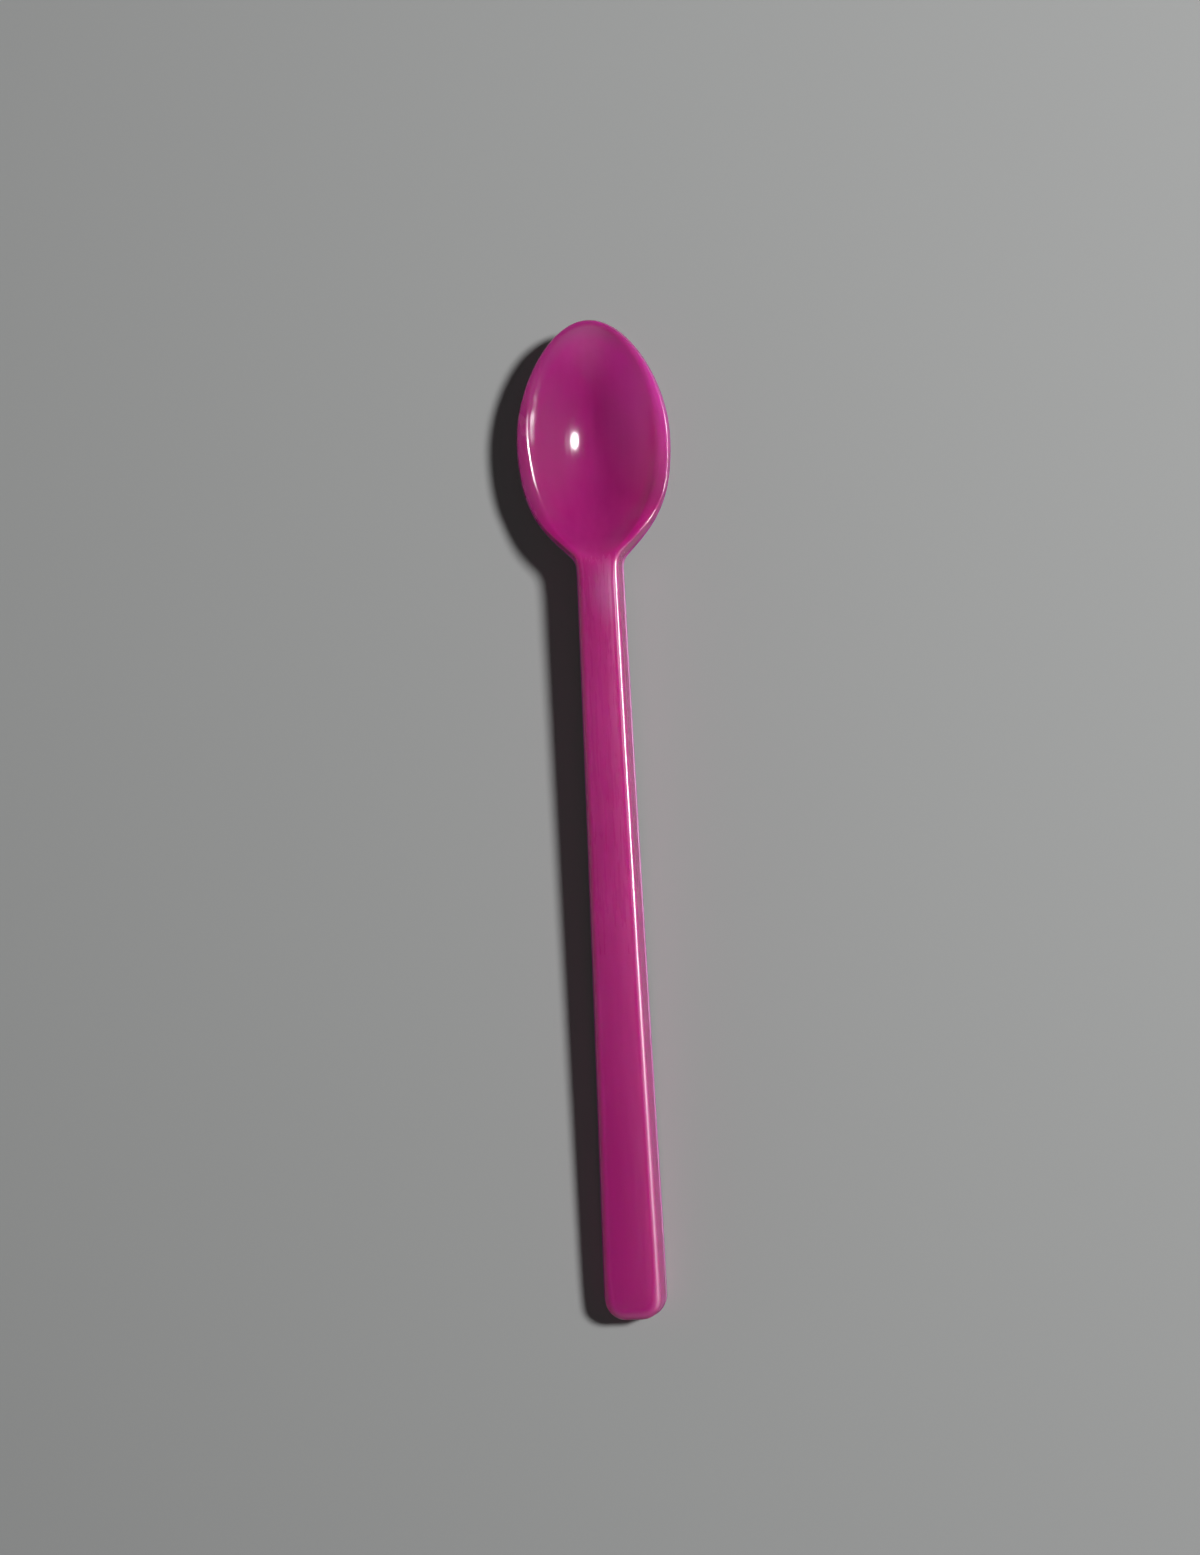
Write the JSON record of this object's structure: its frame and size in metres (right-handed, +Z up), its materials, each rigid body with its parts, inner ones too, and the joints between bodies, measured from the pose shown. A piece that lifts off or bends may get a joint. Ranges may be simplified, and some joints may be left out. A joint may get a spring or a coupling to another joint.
{
  "type": "long dessert spoon",
  "caption": "Long moulded dessert spoon: egg-shaped bowl with a flat rim, short neck, and a straight handle of upturned channel section with a rounded end.",
  "frame": {"origin": "middle of the spoon's length and width, on the surface it lies on", "axes": "+Y along the spoon from the handle's end to the bowl's tip, +X across it, +Z up out of the bowl"},
  "size_m": [0.023, 0.15, 0.0086],
  "materials": {
    "tinted_plastic": "gloss, clear magenta tint, with fine flow lines and handling scratches"
  },
  "bodies": {
    "root": {"spoon": "tinted_plastic"}
  },
  "joints": []
}
